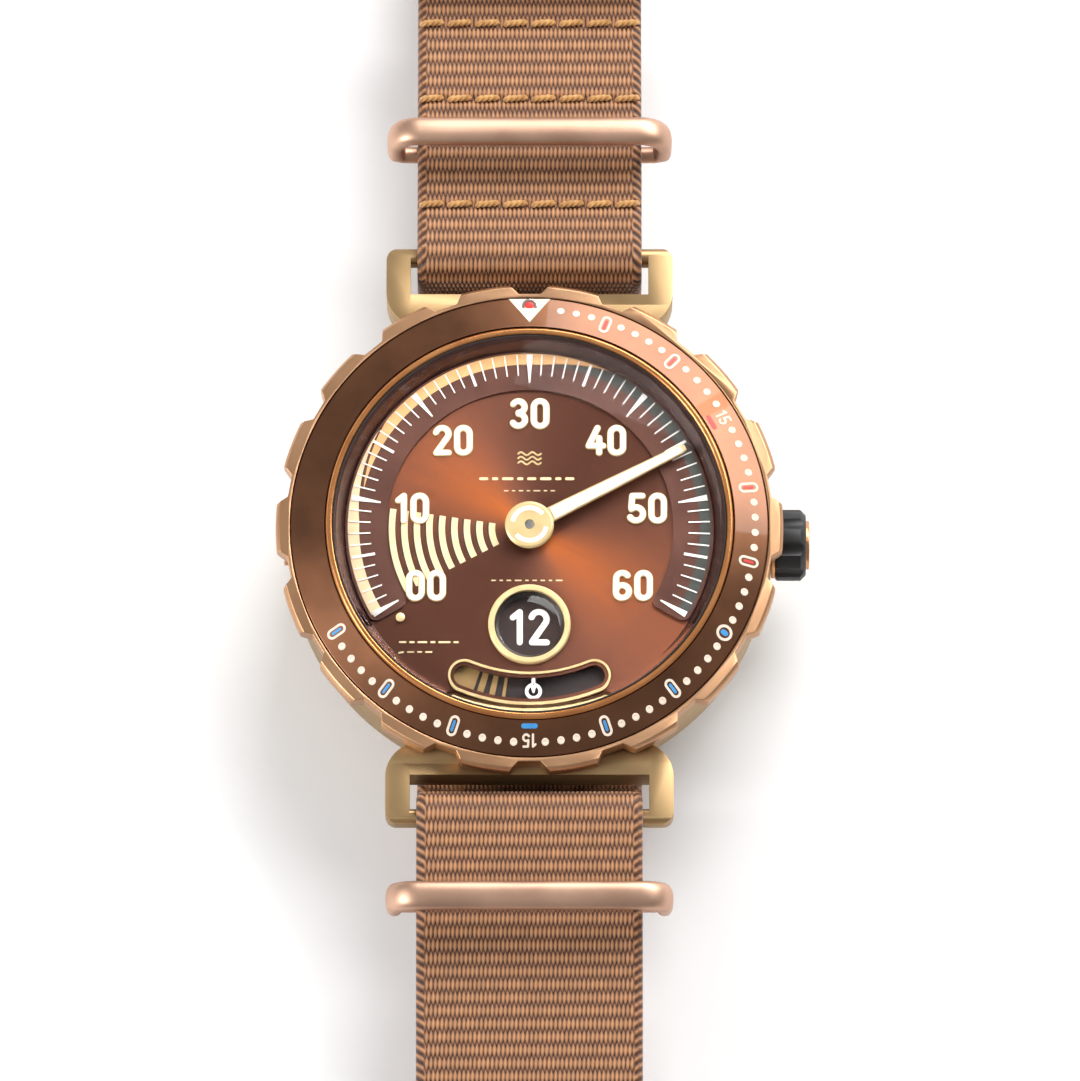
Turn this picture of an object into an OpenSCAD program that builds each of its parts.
// Dive watch with a lobed rotating bezel, a retrograde minute scale, a jumping hour window,
// a power reserve window and a woven pass-through strap.
// Frame: +X towards the crown, +Y towards 12 o'clock, +Z out through the crystal.
// The watch lies on its back with the strap open; z = 0 is the underside of the strap.

/* [Case] */
// Outer diameter of the case wall
case_d = 42.6; // [42:0.1:52]
// Height of the case from its back to its shoulder
case_h = 9.55; // [9.4:0.05:12]
// Diameter of the movement cavity
cavity_d = 33.4; // [33:0.1:34]

/* [Lugs] */
// Distance from the case wall to the outer edge of the strap bar
lug_out = 5.3; // [5:0.1:8]
// Width of each side arm of a strap frame
lug_arm = 2.15; // [1.5:0.05:4]
// Width of the strap bar along the strap
bar_w = 1.4; // [1:0.1:2]
// Length of the slot along the strap
slot_len = 3; // [2.6:0.1:4]
// Distance of the bar's top below the case shoulder
bar_drop = 0.45; // [0.3:0.05:2]
// Thickness of the strap bar
bar_t = 2; // [1.4:0.1:3]

/* [Bezel] */
// How far the lobes stand out from the case wall
bezel_lip = 1.2; // [0.6:0.1:3]
// Number of notches
notch_count = 18; // [6:1:24]
// Depth of each notch
notch_depth = 0.9; // [0.3:0.1:1.2]
// Height of the bezel side wall
bezel_h = 1.85; // [1.6:0.05:3]
// Width of the bezel's rim outside the insert
bezel_rim = 1.36; // [1.2:0.02:2]
// Width of the insert
insert_w = 2.97; // [2:0.01:4]
// Rise of the insert from its outer to its inner edge
insert_rise = 1.2; // [0.4:0.1:2]
// Radial clearance between parts that turn in each other
run_gap = 0.07; // [0.03:0.01:0.1]

/* [Crystal] */
// Wall of the ring that holds the crystal
ring_wall = 0.66; // [0.4:0.02:1]
// Wall of the gasket round the crystal
gasket_t = 0.12; // [0.08:0.01:0.3]
// Thickness of the crystal at its edge
crystal_edge = 1.5; // [1:0.1:3]
// Rise of the dome above the edge
crystal_dome = 1.7; // [0.5:0.1:3]

/* [Dial] */
// Thickness of the dial
dial_t = 0.5; // [0.3:0.05:0.5]
// Height of the dial face above the top of the case
dial_rise = 0.95; // [0.8:0.05:1.5]
// Inner radius of the raised minute track
track_in = 12.65; // [11:0.05:14]
// Outer radius of the raised minute track
track_out = 16.2; // [15:0.05:16.4]
// Radius on which the numerals sit
numeral_r = 10.5; // [8:0.1:12]
// Height of the numerals
numeral_h = 2.64; // [2:0.02:3.2]
// Distance of the hour window below the centre
window_r = 8.83; // [7:0.01:9]
// Radius of the hour window
window_hole = 3.1; // [2:0.05:3.4]
// Radius of the power reserve window's centre line
reserve_r = 14.6; // [14.4:0.1:15]
// Half of the angle spanned by the power reserve window
reserve_half = 23; // [10:1:30]
// Length of the minute hand
hand_len = 15.5; // [12:0.1:16]
// Reading of the minute hand
hand_minute = 45.6; // [0:0.1:60]

/* [Crown] */
// Diameter of the rubber grip
grip_d = 6.35; // [5:0.05:8]
// Length of the rubber grip
grip_len = 2.7; // [2:0.1:4]
// Travel when the crown is pulled
crown_pull = 1.6; // [1:0.1:2]

/* [Strap] */
// Width of the webbing
strap_w = 20; // [16:0.5:24]
// Thickness of the webbing
strap_t = 1.2; // [0.8:0.05:1.6]
// Length from the 12 o'clock bar to the buckle
buckle_len = 76; // [60:1:100]
// Length from the 6 o'clock bar to the tip
tail_len = 134; // [100:1:180]
// Slope of the webbing where it leaves the bars
strap_slope = 6.5; // [2:0.5:15]
// Number of holes in the tail
hole_count = 9; // [3:1:12]

/* [Hidden] */
$fn = 96;
eps = 0.01;

// Strap layers below the case, which set the height of the case back
layer_gap = 0.05;
under_z = strap_t / 2;
center_z = strap_t * 1.5 + layer_gap;
back_z = 2 * (strap_t + layer_gap);

case_r = case_d / 2;
case_top = back_z + case_h;
cavity_r = cavity_d / 2;
slot_w = strap_w + 1.2;
lug_w = slot_w + 2 * lug_arm;
lug_reach = case_r + lug_out;
bar_top = case_top - bar_drop;
bezel_r = case_r + bezel_lip;
bezel_z = case_top + 0.1;
insert_z = bezel_z + bezel_h;
insert_r = bezel_r - bezel_rim;
insert_in = insert_r - insert_w;
insert_t = 0.8;
ring_out = insert_in - run_gap - 0.02;
ring_in = ring_out - ring_wall;
crystal_r = ring_in - gasket_t;
notch_step = 360 / notch_count;
spring_r = case_r - 1.5;

// Movement levels, from the back to the front
rotor_z = back_z + 1.8;
bridge_z = back_z + 2.65;
bridge_t = 0.55;
train_z = bridge_z + bridge_t;
plate_z = back_z + 4.6;
plate_t = 1.8;
plate_top = plate_z + plate_t;
stem_z = back_z + 5.5;
rack_z = plate_top + 0.2;
dial_z = case_top + dial_rise;
disc_z = dial_z - dial_t - 0.55;
disc_t = 0.25;
hand_z = dial_z + 0.9;
crystal_z = hand_z + 0.5;
ring_top = insert_z + insert_rise + 0.12;
movement_r = 13;
reserve_out = cavity_r - 0.35;

// Wheel train: tooth counts and tooth modules
center_n = 64;
center_m = 0.14;
third_n = 60;
third_m = 0.13;
fourth_n = 80;
fourth_m = 0.095;
barrel_n = 70;
barrel_m = 0.15;
center_pinion_n = 10;
leaf_n = 8;
rack_n = 80;
rack_m = 0.2;
hand_pinion_n = 10;

// Arbor places in the plane of the movement
function polar(r, a) = [r * cos(a), r * sin(a)];
function mesh_at(m, n1, n2, a) = polar(m * (n1 + n2) / 2, a);
center_at = [0, 0];
barrel_at = mesh_at(barrel_m, barrel_n, center_pinion_n, 60);
third_at = mesh_at(center_m, center_n, leaf_n, 190);
fourth_dir = 305.7;
fourth_at = third_at + mesh_at(third_m, third_n, leaf_n, fourth_dir);
escape_dir = 300;
escape_at = fourth_at + mesh_at(fourth_m, fourth_n, leaf_n, escape_dir);
pallet_at = escape_at + [3, 0.5];
balance_at = [5.6, -6.2];
rack_dir = 120;
rack_at = mesh_at(rack_m, rack_n, hand_pinion_n, rack_dir);

// Minute scale: 0 at 210 degrees, 4 degrees a minute, clockwise
function minute_angle(minute) = 210 - 4 * minute;
hand_angle = minute_angle(hand_minute);

// Strap route: the bar's centre, and the radius on which the webbing wraps it
bar_y = lug_reach - bar_w / 2;
bar_z = bar_top - bar_t / 2;
wrap_r = sqrt(pow(bar_w / 2 - 0.5, 2) + pow(bar_t / 2 - 0.5, 2)) + 0.5 + 0.11 + strap_t / 2;
bend_r = 3;
bend_y = bar_y - wrap_r - bend_r;
lead_y = bar_y + wrap_r * sin(strap_slope);
lead_z = bar_z + wrap_r * cos(strap_slope);

// ---------------------------------------------------------------- helpers

// Ring with a rectangular section
module tube(ro, ri, h) {
    difference() {
        cylinder(r = ro, h = h);
        translate([0, 0, -eps]) cylinder(r = ri, h = h + 2 * eps);
    }
}

// Cylinder along +X from x0, at the height of the stem
module along_x(r, x0, x1, z = stem_z) {
    translate([x0, 0, z]) rotate([0, 90, 0]) cylinder(r = r, h = x1 - x0);
}

// Sector of a flat ring between two angles
module sector(ro, ri, a0, a1, step = 4) {
    n = max(2, ceil((a1 - a0) / step));
    outer = [for (i = [0:n]) polar(ro, a0 + (a1 - a0) * i / n)];
    inner = [for (i = [n:-1:0]) polar(ri, a0 + (a1 - a0) * i / n)];
    polygon(concat(outer, inner));
}

// Arc slot with round ends
module arc_slot(r, w, a0, a1) {
    sector(r + w / 2, r - w / 2, a0, a1);
    for (a = [a0, a1]) translate(polar(r, a)) circle(d = w);
}

// Toothed disc: straight-flanked teeth of one module, with backlash
module toothed(n, m, h, phase = 0) {
    pitch = 360 / n;
    ro = m * (n / 2 + 0.75);
    rr = m * (n / 2 - 0.95);
    linear_extrude(h)
        polygon([for (i = [0:n - 1], p = [[rr, -0.24], [ro, -0.1], [ro, 0.1], [rr, 0.24]])
            polar(p[0], pitch * (i + p[1]) + phase)]);
}

// Phase that drops the teeth of a follower into the gaps of its driver
function mesh_phase(n1, n2, dir, phase1) =
    dir + 180 - (dir - phase1) * -n1 / n2 + 180 / n2;

// Spoked wheel with a rim, four arms and a hub
module spoked(n, m, h, phase = 0) {
    r = m * n / 2;
    difference() {
        toothed(n, m, h, phase);
        translate([0, 0, -eps]) linear_extrude(h + 2 * eps) difference() {
            circle(r = r - m * 2.4);
            circle(r = 0.75);
            for (a = [0, 90]) rotate(a) square([2 * r, 0.4], center = true);
        }
    }
}

// Centre line that starts at p with a heading and follows legs of [length, turn]
function walk(p, heading, legs, i = 0) =
    i >= len(legs) ? [[p, heading]] :
    let (leg = legs[i],
         n = leg[1] == 0 ? 1 : max(2, ceil(abs(leg[1]) / 7)),
         step = leg[0] / n, turn = leg[1] / n,
         pts = march(p, heading, step, turn, n))
    concat(pts, walk(pts_end(p, heading, step, turn, n), heading + leg[1], legs, i + 1));
function chord(h, step, turn) =
    let (k = turn == 0 ? 1 : sin(turn / 2) / (turn / 2 * PI / 180)) step * k * [cos(h), sin(h)];
function march(p, h, step, turn, n) =
    n == 0 ? [] :
    concat([[p, h]], march(p + chord(h + turn / 2, step, turn), h + turn, step, turn, n - 1));
function pts_end(p, h, step, turn, n) =
    n == 0 ? p : pts_end(p + chord(h + turn / 2, step, turn), h + turn, step, turn, n - 1);

// Flat band of webbing that follows a centre line in the YZ plane
module webbing(line, w = strap_w, t = strap_t) {
    upper = [for (q = line) q[0] + t / 2 * [-sin(q[1]), cos(q[1])]];
    lower = [for (i = [len(line) - 1:-1:0]) let (q = line[i])
        q[0] - t / 2 * [-sin(q[1]), cos(q[1])]];
    in_yz(w) polygon(concat(upper, lower));
}

// Extrude a YZ outline along X, centred
module in_yz(w) {
    translate([-w / 2, 0, 0]) rotate([90, 0, 90]) linear_extrude(w) children();
}

// ---------------------------------------------------------------- case

// Outline of both strap frames: rounded frames that come out from under the bezel
module lug_plan() {
    root_r = 3.2;
    tip_r = 1.2;
    root = case_r - 2.1;
    difference() {
        for (side = [-1, 1]) scale([1, side]) {
            translate([-lug_w / 2, root + root_r]) square([lug_w, lug_reach - tip_r - root - root_r]);
            translate([root_r - lug_w / 2, 0]) square([lug_w - 2 * root_r, root + 2 * root_r]);
            translate([tip_r - lug_w / 2, root + root_r])
                square([lug_w - 2 * tip_r, lug_reach - root - root_r]);
            for (x = [-1, 1]) {
                translate([x * (lug_w / 2 - root_r), root + root_r]) circle(r = root_r);
                translate([x * (lug_w / 2 - tip_r), lug_reach - tip_r]) circle(r = tip_r);
            }
        }
        for (side = [-1, 1]) translate([0, side * (lug_reach - bar_w - slot_len / 2)])
            square([slot_w, slot_len], center = true);
    }
}

// Side profile of the strap frames as far as a distance from the case axis
module arm_profile(reach) {
    y0 = lug_reach - bar_w - slot_len;
    for (side = [-1, 1]) scale([side, 1])
        polygon([[0, case_top - 5.6], [y0 - 4, case_top - 5.6], [reach, bar_top - bar_t],
                 [reach, bar_top], [y0 - 1, case_top - 0.2], [0, case_top - 0.2]]);
}

// Solid that the plan of the strap frames is cut from: plate, side arms and round-edged bars
module lug_body() {
    arm_w = (lug_w - slot_w) / 2;
    in_yz(lug_w + 12) {
        arm_profile(lug_reach - bar_w - 0.4);
        for (side = [-1, 1]) scale([side, 1]) translate([bar_y, bar_z]) bar_section();
    }
    for (side = [-1, 1]) translate([side * (lug_w - arm_w) / 2, 0, 0]) in_yz(arm_w)
        arm_profile(bar_y);
}

module bar_section() {
    r = 0.5;
    square([bar_w + eps, bar_t - 2 * r], center = true);
    square([bar_w - 2 * r, bar_t], center = true);
    for (y = [-1, 1], z = [-1, 1])
        translate([y * (bar_w / 2 - r), z * (bar_t / 2 - r)]) circle(r = r);
}

module case_middle() {
    color([0.72, 0.58, 0.36]) difference() {
        union() {
            rotate_extrude() polygon([[cavity_r, back_z + 1.7], [case_r - 1.4, back_z + 1.7],
                [case_r, back_z + 3.1],
                [case_r, case_top - 0.25], [case_r - 0.25, case_top], [cavity_r, case_top]]);
            intersection() {
                translate([0, 0, back_z]) linear_extrude(case_h) difference() {
                    lug_plan();
                    circle(r = case_r - 1.6);
                }
                lug_body();
            }
            difference() {
                along_x(3.1, case_r - 2, case_r + 0.1);
                cylinder(r = cavity_r + 1, h = 2 * case_top);
            }
        }
        along_x(1.7, cavity_r - 1, case_r + 2);
        along_x(2, -case_r - 2, -cavity_r - 1);
        along_x(0.56, -cavity_r - 2, -cavity_r + 1);
        translate([0, 0, case_top - 0.5]) tube(spring_r + 0.5, spring_r - 0.5, 1);
        back_thread();
    }
}

// Recess that takes the case back's collar and its gasket
module back_thread() {
    translate([0, 0, back_z + 1.5]) cylinder(r = cavity_r + 0.9, h = 1.2);
}

module case_back() {
    lip = cavity_r + 0.85;
    color([0.66, 0.53, 0.34]) difference() {
        union() {
            rotate_extrude() polygon([[0, back_z], [case_r - 2.6, back_z],
                [case_r - 1.5, back_z + 0.8], [case_r - 1.5, back_z + 1.65], [0, back_z + 1.65]]);
            translate([0, 0, back_z + 1.6]) tube(lip, lip - 1, 1);
        }
        translate([0, 0, back_z + 1]) cylinder(r = cavity_r - 0.7, h = 3);
        for (i = [0:5]) rotate(60 * i) translate([case_r - 3.4, 0, back_z - eps])
            linear_extrude(0.6) square([3.2, 3], center = true);
    }
}

module case_back_gasket() {
    color([0.1, 0.1, 0.1]) translate([0, 0, back_z + 1.66])
        tube(case_r - 1.9, cavity_r + 1.1, 0.03);
}

module crystal_ring() {
    top = ring_top;
    color([0.9, 0.63, 0.41]) rotate_extrude() polygon([[ring_in, case_top],
        [ring_out, case_top], [ring_out, top - 0.2], [ring_out - 0.2, top],
        [ring_in + 0.15, top], [ring_in, top - 0.15]]);
}

module crystal_gasket() {
    color([0.12, 0.11, 0.1]) translate([0, 0, crystal_z])
        tube(ring_in, crystal_r, ring_top - 0.2 - crystal_z);
}

// Spherical cap: radius from the chord and the rise
function cap_r(r, rise) = (r * r + rise * rise) / (2 * rise);

module crystal() {
    top = crystal_z + crystal_edge;
    ro = cap_r(crystal_r - 0.4, crystal_dome);
    ri = cap_r(crystal_r - 1.4, crystal_dome * 0.6);
    color([0.85, 0.92, 0.95, 0.3]) difference() {
        intersection() {
            rotate_extrude() polygon([[0, crystal_z], [crystal_r, crystal_z],
                [crystal_r, top - 0.3], [crystal_r - 0.4, top], [crystal_r - 0.4, top + 9], [0, top + 9]]);
            translate([0, 0, top + crystal_dome - ro]) sphere(r = ro, $fn = 200);
        }
        translate([0, 0, crystal_z + crystal_dome * 0.6 - ri]) sphere(r = ri, $fn = 200);
    }
}

// Inner flange: stands on the dial's rim inside the crystal ring
module rehaut() {
    foot_z = dial_z + 0.05;
    rim_z = crystal_z - 0.05;
    color([0.3, 0.2, 0.19]) rotate_extrude() polygon([[track_out + 0.02, foot_z],
        [ring_in - 0.02, foot_z], [ring_in - 0.02, rim_z], [ring_in - 0.5, rim_z]]);
}

// ---------------------------------------------------------------- bezel

module bezel_click_spring() {
    color([0.7, 0.7, 0.68]) translate([0, 0, case_top - 0.45]) linear_extrude(0.35) difference() {
        sector(spring_r + 0.4, spring_r - 0.4, 0, 300);
        circle(r = spring_r - 0.5);
    }
}

module bezel_notches() {
    floor_r = bezel_r - notch_depth;
    half = 2.6;
    for (i = [0:notch_count - 1]) rotate(90 + i * notch_step)
        translate([0, 0, bezel_z - 1]) linear_extrude(bezel_h + 3)
            polygon([polar(floor_r, -half), polar(bezel_r + 0.6, -2.2 * half),
                     polar(bezel_r + 0.6, 2.2 * half), polar(floor_r, half)]);
}

module bezel_ring() {
    r = bezel_r;
    bore = ring_out + run_gap;
    seat = insert_z - insert_t;
    color([0.7, 0.5, 0.36]) difference() {
        rotate_extrude() polygon([[bore, bezel_z], [r - 0.3, bezel_z], [r, bezel_z + 0.3],
            [r, insert_z - 0.35], [r - 0.3, insert_z], [insert_r + 0.1, insert_z],
            [insert_r + 0.1, seat - 0.02], [bore, seat + insert_rise - 0.02 + insert_t / 4]]);
        bezel_notches();
    }
}

module bezel_insert() {
    rise = insert_rise;
    seat = insert_z - insert_t;
    slope = (rise + insert_t / 4) / (insert_r + 0.1 - ring_out - run_gap);
    color([0.41, 0.27, 0.16]) difference() {
        rotate_extrude() polygon([[insert_in, seat + slope * (insert_r + 0.1 - insert_in)],
            [insert_r, seat + slope * 0.1], [insert_r, insert_z - 0.05],
            [insert_r - 0.05, insert_z], [insert_in, insert_z + rise]]);
        pip_hole(0.7);
    }
}

pip_r = insert_r - 0.84;
module pip_hole(r) {
    translate([0, pip_r, insert_z - 0.02]) cylinder(r = r, h = 3);
}

module bezel_pip() {
    color([0.75, 0.15, 0.12]) translate([0, pip_r, insert_z - 0.02]) cylinder(r = 0.68, h = 0.5);
}

// ---------------------------------------------------------------- dial

module dial() {
    color([0.42, 0.27, 0.2]) difference() {
        translate([0, 0, dial_z - dial_t]) cylinder(r = cavity_r - 0.1, h = dial_t);
        translate([0, 0, dial_z - 1]) cylinder(r = 0.7, h = 2);
        translate([0, -window_r, dial_z - 1]) cylinder(r = window_hole, h = 2);
        translate([0, 0, dial_z - 1]) linear_extrude(2)
            arc_slot(reserve_r, 1.9, 270 - reserve_half, 270 + reserve_half);
    }
}

// Raised track: a sector with straight ends and rounded corners past the end marks
module minute_track() {
    corner = 0.7;
    color([0.38, 0.24, 0.2]) translate([0, 0, dial_z]) linear_extrude(0.25) {
        sector(track_out, track_in, minute_angle(60), minute_angle(0));
        for (end = [[0, 0], [60, -corner]]) rotate(minute_angle(end[0])) {
            translate([track_in + corner, end[1]])
                square([track_out - track_in - 2 * corner, corner]);
            for (r = [track_in, track_out - 2 * corner]) translate([r + corner, 0])
                circle(corner);
        }
    }
}

module dial_ticks() {
    color([0.95, 0.93, 0.88]) translate([0, 0, dial_z + 0.25]) for (i = [0:60])
        rotate(minute_angle(i)) tick(i % 10 == 0 ? 2 : i % 5 == 0 ? 1 : 0);
}

// Minute mark: plain, bold or wedge
module tick(grade) {
    inner = track_in + [1.35, 1.15, 0.65][grade];
    outer = track_out - 0.3;
    w_in = [0.1, 0.24, 0.12][grade];
    w_out = [0.1, 0.24, 0.55][grade];
    linear_extrude(0.08) polygon([[inner, -w_in / 2], [outer, -w_out / 2],
        [outer, w_out / 2], [inner, w_in / 2]]);
}

// Numeral strokes: bars and arcs in a box of width 1 by height 2, stroke s
s = 0.34;
module bar2(a, b) {
    d = b - a;
    translate(a) rotate(atan2(d[1], d[0])) translate([-s / 2, -s / 2]) square([norm(d) + s, s]);
}

module arc2(c, r, a0, a1) {
    translate(c) sector(r + s / 2, r - s / 2, a0, a1, 22);
}

module digit(n) {
    lo = [0.5, 0.5];
    hi = [0.5, 1.5];
    r = 0.5 - s / 2;
    if (n == 0) {
        arc2(lo, r, 180, 360);
        arc2(hi, r, 0, 180);
        for (x = [s / 2, 1 - s / 2]) bar2([x, 0.6], [x, 1.4]);
    }
    if (n == 1) {
        bar2([0.6, s / 2], [0.6, 2 - s / 2]);
        bar2([0.35, 1.8], [0.6, 1.8]);
    }
    if (n == 2) {
        arc2(hi, r, -40, 180);
        bar2([0.75, 1.3], [0.2, 0.25]);
        bar2([s / 2, s / 2], [1 - s / 2, s / 2]);
    }
    if (n == 3) {
        arc2(lo, r, -180, 80);
        arc2(hi, r, -80, 180);
    }
    if (n == 4) {
        bar2([0.7, s / 2], [0.7, 2 - s / 2]);
        bar2([0.7, 1.8], [s / 2, 0.6]);
        bar2([s / 2, 0.6], [0.9, 0.6]);
    }
    if (n == 5) {
        arc2([0.5, 0.6], r, -170, 130);
        bar2([0.25, 1.0], [0.25, 1.8]);
        bar2([0.25, 1.8], [0.85, 1.8]);
    }
    if (n == 6) {
        arc2(lo, r, 0, 360);
        bar2([s / 2, 0.5], [s / 2, 1.4]);
        arc2(hi, r, 20, 180);
    }
}

module dial_numerals() {
    k = numeral_h / 2;
    color([0.98, 0.95, 0.85]) translate([0, 0, dial_z]) for (i = [0:6])
        translate(numeral_r * [cos(minute_angle(10 * i)), sin(minute_angle(10 * i)), 0])
            linear_extrude(0.2) scale([k, k]) {
                translate([-1.12, -1]) digit(i);
                translate([0.12, -1]) digit(0);
            }
}

module hour_window_ring() {
    color([0.93, 0.78, 0.52]) translate([0, -window_r, dial_z]) rotate_extrude()
        polygon([[window_hole, 0], [3.63, 0], [3.63, 0.35], [3.45, 0.5], [window_hole, 0.5]]);
}

module hour_window_lens() {
    rise = 0.75;
    r = window_hole - 0.02;
    color([0.85, 0.92, 0.95, 0.3]) translate([0, -window_r, dial_z - 0.4]) intersection() {
        cylinder(r = r, h = 3);
        translate([0, 0, 0.25 + rise - cap_r(r, rise)]) sphere(r = cap_r(r, rise), $fn = 120);
    }
}

module reserve_frame() {
    color([0.93, 0.8, 0.55]) translate([0, 0, dial_z]) linear_extrude(0.18) difference() {
        arc_slot(reserve_r, 2.9, 270 - reserve_half, 270 + reserve_half);
        arc_slot(reserve_r, 2.5, 270 - reserve_half, 270 + reserve_half);
    }
}

module hour_disc() {
    color([0.25, 0.15, 0.12]) {
        translate([0, 0, disc_z]) tube(11.9, 1.6, disc_t);
        translate([0, 0, disc_z - 0.4]) difference() {
            toothed(12, 0.7, 0.42);
            translate([0, 0, -eps]) cylinder(r = 1.6, h = 1);
        }
    }
}

module reserve_ring() {
    color([0.25, 0.22, 0.2]) difference() {
        translate([0, 0, disc_z]) tube(reserve_out, 13.2, disc_t);
        translate([0, 0, disc_z - 1]) linear_extrude(3) sector(18, 12, 20, 160);
    }
}

// ---------------------------------------------------------------- hand and module

module minute_hand() {
    color([0.93, 0.8, 0.55]) difference() {
        union() {
            translate([0, 0, hand_z + 0.12]) cylinder(r = 2.15, h = 0.33);
            translate([0, 0, hand_z]) rotate(hand_angle) linear_extrude(0.25)
                polygon([[0, -0.75], [hand_len - 0.3, -0.42], [hand_len, -0.25],
                         [hand_len, 0.25], [hand_len - 0.3, 0.42], [0, 0.75]]);
        }
        translate([0, 0, dial_z]) cylinder(r = 0.4, h = 2);
    }
}

module hand_arbor() {
    phase = mesh_phase(rack_n, hand_pinion_n, rack_dir + 180, 0);
    color([0.8, 0.75, 0.6]) {
        translate([0, 0, rack_z]) cylinder(r = 0.4, h = hand_z + 0.4 - rack_z);
        translate([0, 0, rack_z]) toothed(hand_pinion_n, rack_m, 0.5, phase);
    }
}

module retrograde_rack() {
    color([0.85, 0.7, 0.4]) translate([rack_at[0], rack_at[1], rack_z]) difference() {
        union() {
            intersection() {
                toothed(rack_n, rack_m, 0.4);
                linear_extrude(1) sector(9, 6.6, rack_dir + 180 - 32, rack_dir + 180 + 17);
            }
            linear_extrude(0.4) for (a = [-31, 16]) rotate(rack_dir + 180 + a)
                translate([0, -0.3]) square([7.2, 0.6]);
            cylinder(r = 1.1, h = 0.4);
        }
        translate([0, 0, -eps]) cylinder(r = 0.45, h = 1);
    }
}

// ---------------------------------------------------------------- movement

module movement_ring() {
    color([0.75, 0.74, 0.72]) difference() {
        union() {
            translate([0, 0, bridge_z]) tube(cavity_r - 0.1, movement_r + 0.03, plate_top + 0.05 - bridge_z);
            translate([0, 0, plate_top]) tube(cavity_r - 0.1, reserve_out + 0.1, dial_z - dial_t - plate_top);
        }
        along_x(0.7, movement_r - 1, cavity_r + 1);
    }
}

module mainplate() {
    color([0.78, 0.7, 0.5]) difference() {
        union() {
            translate([0, 0, plate_z]) cylinder(r = movement_r, h = plate_t);
            translate([0, 0, train_z]) tube(movement_r, 12.3, plate_z - train_z + 0.1);
            translate([rack_at[0], rack_at[1], plate_top]) cylinder(r = 0.4, h = 0.85);
        }
        along_x(0.56, 9, movement_r + 1);
        translate([10.4, -0.95, plate_z - 1]) cube([2.2, 1.9, 1.9 + 1]);
        for (p = [center_at, third_at, fourth_at, escape_at, barrel_at, balance_at])
            translate([p[0], p[1], plate_z - eps]) cylinder(r = 0.2, h = plate_t + 1);
        translate([pallet_at[0], pallet_at[1], plate_z - eps]) cylinder(r = 0.2, h = 1);
    }
}

// Bridges lie on the mainplate's rim; the cut line leaves the balance free
module bridge_cut(gap) {
    rotate(-48) translate([3.6 + gap, -20]) square([20, 40]);
}

module train_bridge() {
    color([0.8, 0.79, 0.77]) difference() {
        translate([0, 0, bridge_z]) linear_extrude(bridge_t) difference() {
            circle(r = movement_r - 0.05);
            bridge_cut(0);
        }
        pivot_holes();
    }
    color([0.7, 0.7, 0.7]) translate([0, 0, rotor_z]) difference() {
        cylinder(r = 1.6, h = bridge_z - rotor_z);
        translate([0, 0, -eps]) cylinder(r = 0.6, h = 3);
    }
}

module balance_cock() {
    color([0.8, 0.79, 0.77]) difference() {
        translate([0, 0, bridge_z]) linear_extrude(bridge_t) intersection() {
            circle(r = movement_r - 0.05);
            bridge_cut(0.2);
        }
        pivot_holes();
    }
}

// Jewelled places of the two bridges, and the holes drilled through them
jewel_at = [center_at, third_at, fourth_at, escape_at, balance_at];
screw_angles = [20, 100, 170, 240, 330];
module pivot_holes() {
    for (p = concat(jewel_at, [barrel_at]))
        translate([p[0], p[1], bridge_z - eps]) cylinder(r = 0.5, h = 1);
    translate([pallet_at[0], pallet_at[1], bridge_z - eps]) cylinder(r = 0.2, h = 1);
    for (a = screw_angles) rotate(a) translate([12.62, 0, bridge_z - eps])
        cylinder(r = 0.22, h = 1);
}

module movement_screws() {
    color([0.3, 0.35, 0.5]) for (a = screw_angles) rotate(a) translate([12.62, 0, 0]) {
        translate([0, 0, bridge_z + 0.01]) cylinder(r = 0.2, h = bridge_t - 0.02);
        translate([0, 0, bridge_z - 0.2]) cylinder(r = 0.3, h = 0.2);
    }
}

module jewels() {
    color([0.75, 0.1, 0.25]) for (p = jewel_at)
        translate([p[0], p[1], bridge_z + 0.1]) tube(0.5, 0.2, bridge_t - 0.1);
}

// Arbor with its pivots
module arbor(r = 0.3) {
    translate([0, 0, bridge_z + 0.1]) cylinder(r = 0.16, h = plate_z + 0.6 - bridge_z);
    translate([0, 0, train_z + 0.03]) cylinder(r = r, h = plate_z - train_z - 0.06);
}

module barrel() {
    color([0.82, 0.68, 0.4]) translate([barrel_at[0], barrel_at[1], 0]) {
        arbor(0.5);
        translate([0, 0, train_z + 0.15]) toothed(barrel_n, barrel_m, 0.2);
        translate([0, 0, train_z + 0.1]) cylinder(r = 4.9, h = 0.8);
    }
}

module center_wheel() {
    phase = mesh_phase(barrel_n, center_pinion_n, 240 - 180, 0);
    color([0.86, 0.72, 0.42]) {
        arbor(0.35);
        translate([0, 0, train_z + 1.04]) spoked(center_n, center_m, 0.2);
        translate([0, 0, train_z + 0.08]) toothed(center_pinion_n, barrel_m, 0.4, phase);
    }
}

module third_wheel() {
    phase = mesh_phase(center_n, leaf_n, 190, 0);
    color([0.86, 0.72, 0.42]) translate([third_at[0], third_at[1], 0]) {
        arbor();
        translate([0, 0, train_z + 0.62]) spoked(third_n, third_m, 0.16);
        translate([0, 0, train_z + 1]) toothed(leaf_n, center_m, 0.3, phase);
    }
}

module fourth_wheel() {
    phase = mesh_phase(third_n, leaf_n, fourth_dir, 0);
    color([0.86, 0.72, 0.42]) translate([fourth_at[0], fourth_at[1], 0]) {
        arbor(0.22);
        translate([0, 0, train_z + 0.3]) spoked(fourth_n, fourth_m, 0.14);
        translate([0, 0, train_z + 0.56]) toothed(leaf_n, third_m, 0.28, phase);
    }
}

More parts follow.
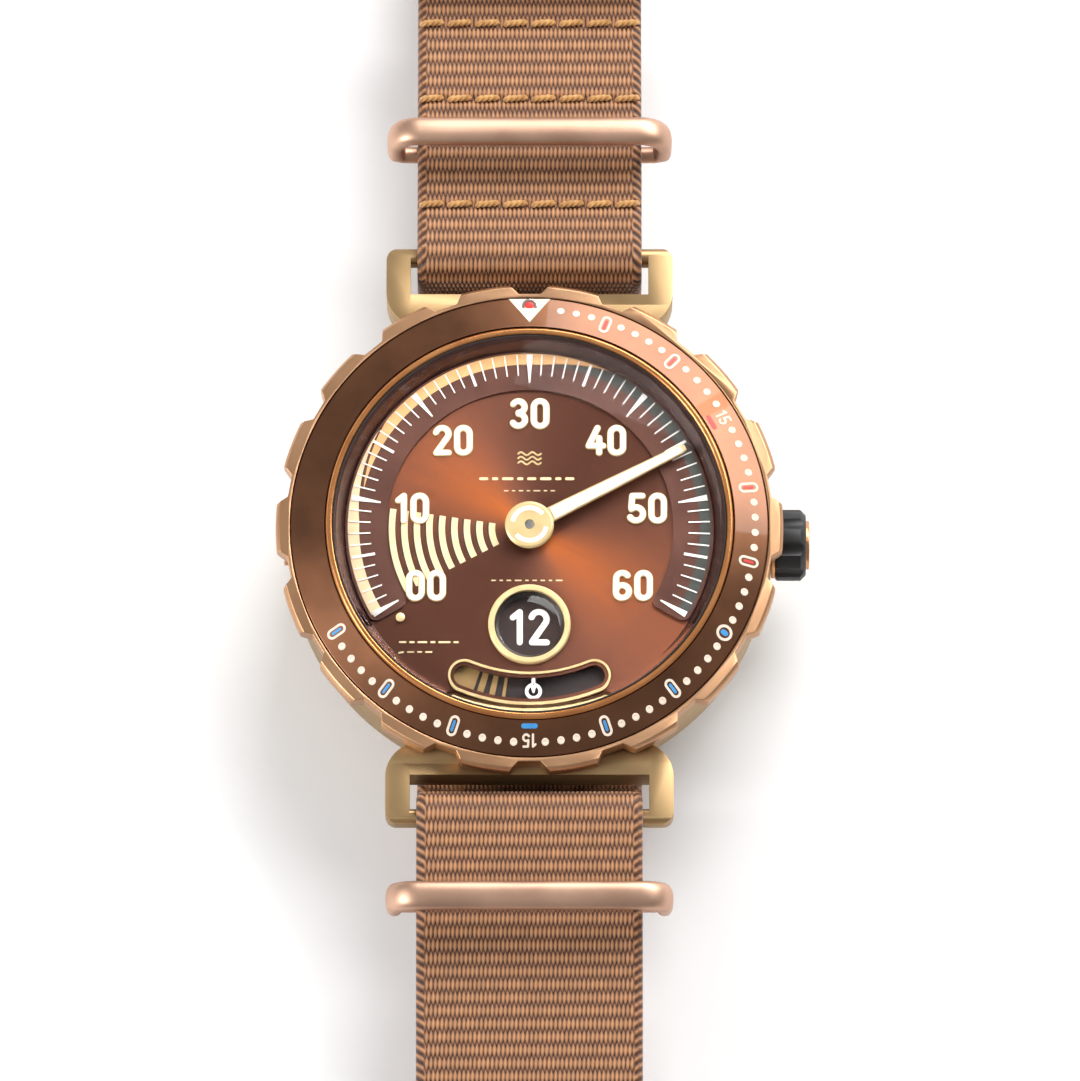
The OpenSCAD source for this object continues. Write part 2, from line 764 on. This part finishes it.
module escape_wheel() {
    phase = mesh_phase(fourth_n, leaf_n, escape_dir, 0);
    color([0.8, 0.8, 0.82]) translate([escape_at[0], escape_at[1], 0]) {
        arbor(0.2);
        translate([0, 0, train_z + 0.26]) toothed(leaf_n, fourth_m, 0.22, phase);
        translate([0, 0, train_z + 0.8]) linear_extrude(0.12)
            polygon([for (i = [0:14], p = [[2.2, 0], [1.55, 3], [1.55, 20]])
                polar(p[0], 24 * i + p[1])]);
    }
}

module pallet_fork() {
    color([0.8, 0.8, 0.82]) translate([pallet_at[0], pallet_at[1], 0]) {
        translate([0, 0, train_z + 0.94]) cylinder(r = 0.16, h = plate_z - 0.34 - train_z);
        translate([0, 0, train_z + 0.94]) linear_extrude(0.16) {
            circle(r = 0.45);
            rotate(25) square([2.4, 0.3]);
            for (a = [110, 240]) rotate(a) translate([0, -0.15]) square([1.6, 0.3]);
        }
    }
}

module balance_wheel() {
    color([0.85, 0.72, 0.42]) translate([balance_at[0], balance_at[1], 0]) {
        arbor(0.22);
        translate([0, 0, train_z + 0.58]) linear_extrude(0.3) difference() {
            circle(r = 3.85);
            difference() {
                circle(r = 3.4);
                square([9, 0.5], center = true);
                circle(r = 0.6);
            }
        }
    }
}

module hairspring() {
    turns = 7;
    n = 12 * turns;
    function spiral(i, off) = polar(0.7 + 2.1 * i / n + off, 30 * i);
    color([0.3, 0.4, 0.7]) translate([balance_at[0], balance_at[1], train_z + 0.25]) linear_extrude(0.14)
        polygon(concat([for (i = [0:n]) spiral(i, 0.04)], [for (i = [n:-1:0]) spiral(i, -0.04)]));
}

module rotor() {
    color([0.75, 0.72, 0.66]) difference() {
        translate([0, 0, rotor_z]) union() {
            linear_extrude(0.4) difference() {
                union() {
                    sector(12.3, 0.5, 90, 270);
                    circle(r = 3);
                }
                circle(r = 1.65);
            }
            linear_extrude(0.7) sector(12.3, 10.6, 92, 268);
        }
        translate([0, 0, rotor_z - 1]) cylinder(r = 1.65, h = 3);
    }
}

// ---------------------------------------------------------------- crown and valve

stem_in = 10;
crown_x = case_r + 0.15;
grip_x = crown_x + 0.4;
cap_x = grip_x + grip_len;
tube_r = 1.7;

module winding_pinion() {
    color([0.75, 0.75, 0.77]) difference() {
        along_x(0.85, 10.6, 12.4);
        along_x(0.4, 10, 13);
    }
}

module winding_stem() {
    color([0.8, 0.8, 0.82]) along_x(0.35, stem_in, cap_x - 0.5);
}

module crown_tube() {
    color([0.72, 0.58, 0.36]) difference() {
        along_x(tube_r, cavity_r + 0.1, crown_x + crown_pull);
        along_x(0.45, 0, 40);
    }
}

module crown_core() {
    color([0.72, 0.52, 0.36]) difference() {
        union() {
            along_x(2.95, crown_x, grip_x - 0.02);
            along_x(2.4, crown_x, cap_x);
            along_x(2.17, cap_x - 0.1, cap_x + 0.3);
        }
        along_x(tube_r + run_gap, crown_x - 1, crown_x + crown_pull + 0.3);
        along_x(0.35, crown_x, cap_x - 0.5);
    }
}

module crown_grip() {
    r = grip_d / 2;
    color([0.07, 0.07, 0.07]) difference() {
        translate([0, 0, stem_z]) rotate([0, 90, 0]) rotate_extrude() polygon([[2.4, grip_x],
            [r - 0.15, grip_x], [r, grip_x + 0.15], [r, cap_x - 0.5], [r - 0.5, cap_x], [2.4, cap_x]]);
        for (i = [0:7]) translate([0, 0, stem_z]) rotate([45 * i + 22.5, 0, 0])
            translate([grip_x - 1, 0, r + 0.55]) rotate([0, 90, 0]) cylinder(r = 0.85, h = grip_len + 2);
    }
}

module valve_seat() {
    x = case_r - 0.12;
    color([0.72, 0.58, 0.36]) difference() {
        along_x(2, -x, -cavity_r - 1);
        along_x(1.3, -case_r - 1, -cavity_r - 1.6);
        along_x(0.55, -case_r, -cavity_r + 1);
    }
}

module valve_plunger() {
    color([0.66, 0.5, 0.34]) {
        along_x(1.8, -case_r - 0.5, -case_r - 0.05);
        along_x(0.5, -case_r - 0.1, -cavity_r - 0.4);
    }
}

module valve_spring() {
    color([0.7, 0.7, 0.72]) difference() {
        along_x(1.1, -case_r, -cavity_r - 1.65);
        along_x(0.7, -case_r - 1, 0);
    }
}

// ---------------------------------------------------------------- strap

// Height of the centre line where each strap reaches the table
upper_flat_z = strap_t * 1.5 + layer_gap;
lower_flat_z = strap_t / 2;
dip = 25;
dip_r = 12;
upper_lead = 32;
lower_lead = 24;

// Length of the steep middle stretch that brings a strap down to its flat height
function dip_len(flat_z, lead) =
    (lead_z - lead * sin(strap_slope) - flat_z
     - dip_r * (cos(strap_slope) - cos(strap_slope + dip))
     - dip_r * (1 - cos(strap_slope + dip))) / sin(strap_slope + dip);

// Legs of a strap from the bar to its end, which is given as a length along the strap
function strap_legs(flat_z, lead, total) =
    let (arc1 = dip_r * dip * PI / 180, arc2 = dip_r * (dip + strap_slope) * PI / 180,
         mid = dip_len(flat_z, lead))
    [[lead, 0], [arc1, -dip], [mid, 0], [arc2, dip + strap_slope],
     [total - lead - arc1 - mid - arc2, 0]];

function end_y(line) = line[len(line) - 1][0][0];

upper_line = walk([lead_y, lead_z], -strap_slope, strap_legs(upper_flat_z, upper_lead, buckle_len));
lower_line = walk([lead_y, lead_z], -strap_slope, strap_legs(lower_flat_z, lower_lead, tail_len));
buckle_y = end_y(upper_line) + 6;
bar_r = 0.8;
loop_z = bar_r + 0.1 + strap_t;

// Stations of the keepers and stitch rows, from the case axis
keeper_near_y = lug_reach + 9.25;
keeper_far_y = lug_reach + 26.4;

// Height of the strap's centre line on its first straight stretch
function slope_z(y) = lead_z - (y - lead_y) * tan(strap_slope);

// Under strap: bends round the main layer, climbs, and turns parallel to the strap above it
under_bend = bend_r + strap_t + layer_gap;
turn_r = 1;
climb_upper = 65;
climb_lower = 50;

function climb_drop(climb) = under_z + under_bend * (1 - cos(climb))
    + turn_r * (cos(strap_slope) - cos(climb));
function climb_out(climb) = bend_y + under_bend * sin(climb)
    + turn_r * (sin(climb) + sin(strap_slope));

// Distance from the case axis at which a climbing stretch meets the strap above it
function climb_end(climb) =
    let (top = slope_z(0) - (1.5 * strap_t + layer_gap) / cos(strap_slope))
    (climb_out(climb) + (top - climb_drop(climb)) / tan(climb))
    / (1 + tan(strap_slope) / tan(climb));

// The lower keeper holds both straps just past the place where they meet
keeper_under_gap = 2.1;
keeper_under_y = climb_end(climb_lower) + keeper_under_gap;

module strap_center() {
    side = [[bend_r * PI / 2, 90], [bar_z - center_z - bend_r, 0]];
    half = walk([0, center_z], 0, concat([[bend_y, 0]], side));
    color([0.62, 0.44, 0.31]) for (m = [0, 1]) mirror([0, m]) webbing(half);
}

module strap_wrap() {
    arc = walk([bar_y - wrap_r, bar_z], 90,
               [[wrap_r * (90 + strap_slope) * PI / 180, -90 - strap_slope]]);
    webbing(arc);
}

module strap_wrap_upper() {
    color([0.62, 0.44, 0.31]) strap_wrap();
}

module strap_wrap_lower() {
    color([0.62, 0.44, 0.31]) mirror([0, 1]) strap_wrap();
}

// Points of a line from a given distance on, moved sideways by an offset
function beside(line, off) = [for (q = line) [q[0] + off * [-sin(q[1]), cos(q[1])], q[1]]];

// Extra depth of the lining where it passes under a keeper's lower bar
function pocket(y, at) =
    let (d = abs(y - at) - keeper_w / 2 - 0.2)
    d < 0 ? keeper_t + 0.1 : d > 2 ? 0 : (keeper_t + 0.1) * (1 + cos(90 * d)) / 2;

// Buckle side: main layer, lining layer below it, and a loop round the buckle bar
module strap_upper() {
    off = -strap_t - layer_gap;
    lining_start = climb_end(climb_upper) + 0.2;
    sloped = [for (y = [lining_start:0.4:lead_y + upper_lead - 0.5])
        let (drop = off - pocket(y, keeper_near_y) - pocket(y, keeper_far_y))
        [[y, slope_z(y) + drop / cos(strap_slope)], -strap_slope]];
    rest = [for (i = [1:len(upper_line) - 1]) beside(upper_line, off)[i]];
    y1 = end_y(upper_line);
    color([0.69, 0.49, 0.35]) difference() {
        union() {
            webbing(upper_line);
            webbing(concat(sloped, rest));
            in_yz(strap_w) difference() {
                union() {
                    polygon([[y1, 0], [buckle_y, 0], [buckle_y, loop_z * 2],
                             [y1 - 0.5, upper_flat_z + strap_t / 2], [y1 - 0.5, 0]]);
                    translate([buckle_y, loop_z]) circle(r = loop_z);
                }
                translate([buckle_y, loop_z]) circle(r = bar_r + 0.1);
            }
        }
        translate([-1.7, buckle_y - 3.5, -1]) cube([3.4, 8, 8]);
    }
}

// Height of a keeper's lower bar, close under the main layer
keeper_t = 1.6;
keeper_w = 2.6;
keeper_gap = 3 * strap_t;
function keeper_z(y) = slope_z(y) - (strap_t / 2 + 0.05 + keeper_t / 2) / cos(strap_slope);

module strap_lower() {
    tip_y = end_y(lower_line);
    color([0.69, 0.49, 0.35]) mirror([0, 1]) difference() {
        webbing(lower_line);
        for (i = [0:hole_count - 1]) translate([0, tip_y - 20 - 7 * i, -1])
            cylinder(r = 0.9, h = strap_t + 2, $fn = 24);
        for (m = [0, 1]) mirror([m, 0]) translate([0, 0, -1]) linear_extrude(strap_t + 2)
            difference() {
                translate([0, tip_y - 10]) square([strap_w, 12]);
                translate([0, tip_y - 10]) circle(r = strap_w / 2);
                translate([0, tip_y - 12]) square([eps, eps]);
            }
    }
}

module under_strap_center() {
    color([0.6, 0.43, 0.3]) in_yz(strap_w) translate([-bend_y, 0]) square([2 * bend_y, strap_t]);
}

module under_strap_rise(climb) {
    turn = climb + strap_slope;
    webbing(walk([bend_y, under_z], 0, [[under_bend * climb * PI / 180, climb],
        [(climb_end(climb) - climb_out(climb)) / cos(climb), 0],
        [turn_r * turn * PI / 180, -turn]]));
}

module under_strap_upper() {
    color([0.6, 0.43, 0.3]) under_strap_rise(climb_upper);
}

module under_strap_lower() {
    color([0.6, 0.43, 0.3]) mirror([0, 1]) under_strap_rise(climb_lower);
}

// Keeper: closed ring across the strap; its lower bar is round, so that it can tilt
module keeper(y) {
    w = slot_w + 4.2;
    h = keeper_gap + 2 * keeper_t;
    inner = slot_w;
    translate([0, y, keeper_z(y)]) rotate([90 - strap_slope, 0, 0]) {
        translate([0, h / 2 - keeper_t / 2, -keeper_w / 2]) linear_extrude(keeper_w) difference() {
            union() {
                square([w, h - 3], center = true);
                square([w - 3, h], center = true);
                for (a = [-1, 1], b = [-1, 1])
                    translate([a * (w / 2 - 1.5), b * (h / 2 - 1.5)]) circle(r = 1.5);
            }
            translate([-inner / 2, -h]) square([inner, h + keeper_gap / 2]);
        }
        translate([-inner / 2 - 0.5, 0, 0]) rotate([0, 90, 0]) cylinder(r = keeper_t / 2, h = inner + 1);
    }
}

module keeper_near() {
    color([0.7, 0.5, 0.42]) keeper(keeper_near_y);
}

module keeper_far() {
    color([0.7, 0.5, 0.42]) keeper(keeper_far_y);
}

module keeper_under() {
    color([0.7, 0.5, 0.42]) mirror([0, 1]) keeper(keeper_under_y);
}

// ---------------------------------------------------------------- buckle

buckle_reach = 12.5;
buckle_t = 2.2;
buckle_w = 2.4;

module buckle_frame() {
    w = slot_w;
    color([0.7, 0.5, 0.42]) translate([0, buckle_y, 0]) {
        translate([-w / 2 - eps, 0, loop_z]) rotate([0, 90, 0]) cylinder(r = bar_r, h = w + 2 * eps);
        for (x = [-1, 1]) translate([x * (w + buckle_w) / 2, 0, 0]) in_yz(buckle_w) {
            translate([0, loop_z]) circle(r = 1.5);
            polygon([[0, loop_z - 1.5], [3.5, 0], [buckle_reach, 0], [buckle_reach, buckle_t],
                     [5, buckle_t], [0, loop_z + 1.5]]);
        }
        translate([0, buckle_reach, 0]) in_yz(w + 2 * buckle_w) {
            translate([0, buckle_t / 2]) circle(d = buckle_t);
            translate([-buckle_t / 2, 0]) square([buckle_t / 2, buckle_t]);
        }
    }
}

module buckle_tang() {
    tilt = asin((buckle_t + 0.75 - loop_z) / buckle_reach);
    color([0.7, 0.5, 0.42]) translate([0, buckle_y, loop_z]) difference() {
        union() {
            translate([-1.2, 0, 0]) rotate([0, 90, 0]) cylinder(r = 1.5, h = 2.4);
            rotate([tilt - 90, 0, 0]) cylinder(r = 0.7, h = buckle_reach + 1);
        }
        translate([-2, 0, 0]) rotate([0, 90, 0]) cylinder(r = bar_r + 0.05, h = 4);
    }
}

case_middle();
case_back();
case_back_gasket();
crown_tube();
crystal_ring();
crystal_gasket();
crystal();
rehaut();
bezel_click_spring();
bezel_ring();
bezel_insert();
bezel_pip();
dial();
minute_track();
dial_ticks();
dial_numerals();
hour_window_ring();
hour_window_lens();
reserve_frame();
hour_disc();
reserve_ring();
minute_hand();
hand_arbor();
retrograde_rack();
movement_ring();
mainplate();
train_bridge();
balance_cock();
jewels();
movement_screws();
barrel();
center_wheel();
third_wheel();
fourth_wheel();
escape_wheel();
pallet_fork();
balance_wheel();
hairspring();
rotor();
winding_pinion();
winding_stem();
crown_core();
crown_grip();
valve_seat();
valve_plunger();
valve_spring();
strap_center();
strap_upper();
strap_lower();
strap_wrap_upper();
strap_wrap_lower();
under_strap_center();
under_strap_upper();
under_strap_lower();
keeper_near();
keeper_far();
keeper_under();
buckle_frame();
buckle_tang();
